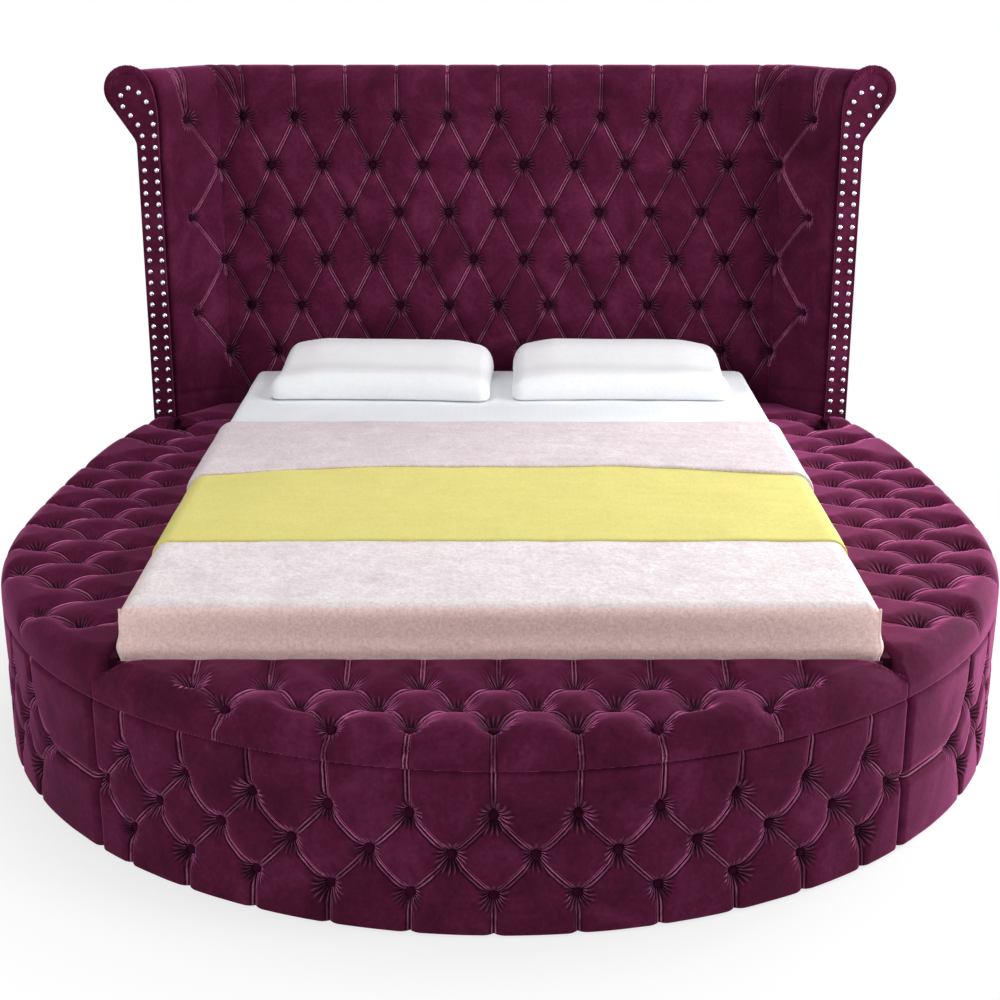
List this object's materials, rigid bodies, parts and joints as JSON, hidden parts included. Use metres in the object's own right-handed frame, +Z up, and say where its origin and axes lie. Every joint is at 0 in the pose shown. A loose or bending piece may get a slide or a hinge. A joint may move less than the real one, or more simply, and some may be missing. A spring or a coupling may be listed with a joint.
{
  "type": "round upholstered bed",
  "caption": "Round upholstered bed with a deep buttoned winged headboard, nailhead trim, lidded storage benches around the foot and sides, a mattress and bedding.",
  "frame": {"origin": "on the floor, under the middle of the bed's outside length and width", "axes": "+Z up, +Y from the foot towards the headboard, +X to the right of someone who stands at the foot"},
  "size_m": [2.42, 2.5628, 1.481],
  "materials": {
    "velvet": "plum velvet",
    "back_fabric": "plain plum fabric",
    "timber": "planed softwood",
    "plywood": "sanded plywood",
    "steel": "zinc-plated",
    "silver_nails": "bright nickel",
    "glide_plastic": "matte",
    "mattress_ticking": "woven ticking",
    "white_cotton": "matte cotton",
    "pink_fleece": "soft fleece",
    "yellow_fleece": "soft fleece"
  },
  "bodies": {
    "frame": {"corner_posts": "timber", "foot_rail": "plywood", "head_rail": "timber", "left_rail": "plywood", "right_rail": "plywood", "slat_ledgers": "timber", "slats": "timber", "centre_beam": "timber", "centre_legs": "steel", "floor_glides": "glide_plastic", "frame_bolts": "steel", "foot_bench_floor": "plywood", "foot_bench_wall": "plywood", "foot_wall_pad": "velvet", "foot_wall_buttons": "velvet", "left_bench_floor": "plywood", "left_bench_wall": "plywood", "left_bench_end": "plywood", "left_wall_pad": "velvet", "left_wall_buttons": "velvet", "right_bench_floor": "plywood", "right_bench_wall": "plywood", "right_bench_end": "plywood", "right_wall_pad": "velvet", "right_wall_buttons": "velvet", "headboard_posts": "timber", "headboard_crossbars": "timber", "headboard_panel": "plywood", "headboard_pad": "velvet", "headboard_buttons": "velvet", "headboard_back_cover": "back_fabric", "left_wing_panel": "plywood", "left_wing_pad": "velvet", "left_wing_front": "velvet", "left_nailheads": "silver_nails", "right_wing_panel": "plywood", "right_wing_pad": "velvet", "right_wing_front": "velvet", "right_nailheads": "silver_nails", "foot_hinge_rail_leaf": "steel", "left_hinge_rail_leaf": "steel", "right_hinge_rail_leaf": "steel", "mattress": "mattress_ticking", "fitted_sheet": "white_cotton", "blanket": "pink_fleece", "throw": "yellow_fleece", "left_pillow": "white_cotton", "right_pillow": "white_cotton"},
    "foot_lid": {"foot_lid_board": "plywood", "foot_lid_cushion": "velvet", "foot_lid_buttons": "velvet", "foot_hinge_lid_leaf": "steel"},
    "left_lid": {"left_lid_board": "plywood", "left_lid_cushion": "velvet", "left_lid_buttons": "velvet", "left_hinge_lid_leaf": "steel"},
    "right_lid": {"right_lid_board": "plywood", "right_lid_cushion": "velvet", "right_lid_buttons": "velvet", "right_hinge_lid_leaf": "steel"}
  },
  "joints": [
    {"name": "foot_lid_hinge", "type": "hinge", "parent": "frame", "child": "foot_lid", "pos_m": [0, -0.95387, 0.43], "axis": [-1, 0, 0], "range_deg": [0, 70]},
    {"name": "left_lid_hinge", "type": "hinge", "parent": "frame", "child": "left_lid", "pos_m": [-0.7933, 0.2, 0.43], "axis": [0, 1, 0], "range_deg": [0, 70]},
    {"name": "right_lid_hinge", "type": "hinge", "parent": "frame", "child": "right_lid", "pos_m": [0.7933, 0.2, 0.43], "axis": [0, -1, 0], "range_deg": [0, 70]}
  ]
}
